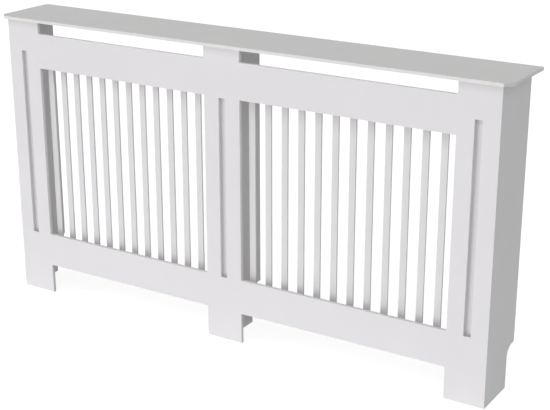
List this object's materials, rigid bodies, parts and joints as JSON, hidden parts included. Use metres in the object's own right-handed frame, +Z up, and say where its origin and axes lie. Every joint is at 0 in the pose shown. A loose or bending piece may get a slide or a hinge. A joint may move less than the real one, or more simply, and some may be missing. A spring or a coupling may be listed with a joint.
{
  "type": "radiator cover cabinet",
  "caption": "White radiator cover: a slatted front frame on feet, side and middle panels cut away for the skirting board, a thin shelf on top, open at the back and floor.",
  "frame": {"origin": "on the floor, under the middle of the whole cabinet", "axes": "+X to the right along the front, +Y back to the wall, +Z up"},
  "size_m": [1.52, 0.2, 0.815],
  "materials": {
    "painted_shelf": "satin white paint on fibreboard",
    "painted_frame": "satin white paint on fibreboard",
    "painted_slats": "satin white paint on fibreboard",
    "painted_panels": "satin white paint on fibreboard",
    "batten_timber": "bare softwood",
    "bracket_steel": "zinc plated",
    "screw_steel": "zinc plated"
  },
  "bodies": {
    "root": {"bottom_rail_left": "painted_frame", "bottom_rail_right": "painted_frame", "centre_panel": "painted_panels", "corner_batten_centre_left": "batten_timber", "corner_batten_centre_right": "batten_timber", "corner_batten_left": "batten_timber", "corner_batten_right": "batten_timber", "screws_corner_batten_to_panel": "screw_steel", "screws_corner_batten_to_stile": "screw_steel", "screws_shelf_batten_to_panel": "screw_steel", "screws_shelf_batten_to_shelf": "screw_steel", "screws_slat_batten_to_rail": "screw_steel", "screws_wall_bracket": "screw_steel", "shelf_batten_centre": "batten_timber", "shelf_batten_left": "batten_timber", "shelf_batten_right": "batten_timber", "side_panel_left": "painted_panels", "side_panel_right": "painted_panels", "slat_batten_bottom_left": "batten_timber", "slat_batten_bottom_right": "batten_timber", "slat_batten_top_left": "batten_timber", "slat_batten_top_right": "batten_timber", "slat_left_01": "painted_slats", "slat_left_02": "painted_slats", "slat_left_03": "painted_slats", "slat_left_04": "painted_slats", "slat_left_05": "painted_slats", "slat_left_06": "painted_slats", "slat_left_07": "painted_slats", "slat_left_08": "painted_slats", "slat_left_09": "painted_slats", "slat_left_10": "painted_slats", "slat_left_11": "painted_slats", "slat_left_12": "painted_slats", "slat_right_01": "painted_slats", "slat_right_02": "painted_slats", "slat_right_03": "painted_slats", "slat_right_04": "painted_slats", "slat_right_05": "painted_slats", "slat_right_06": "painted_slats", "slat_right_07": "painted_slats", "slat_right_08": "painted_slats", "slat_right_09": "painted_slats", "slat_right_10": "painted_slats", "slat_right_11": "painted_slats", "slat_right_12": "painted_slats", "stile_centre": "painted_frame", "stile_left": "painted_frame", "stile_right": "painted_frame", "top_rail_left": "painted_frame", "top_rail_right": "painted_frame", "top_shelf": "painted_shelf", "wall_bracket_left": "bracket_steel", "wall_bracket_right": "bracket_steel"}
  },
  "joints": []
}
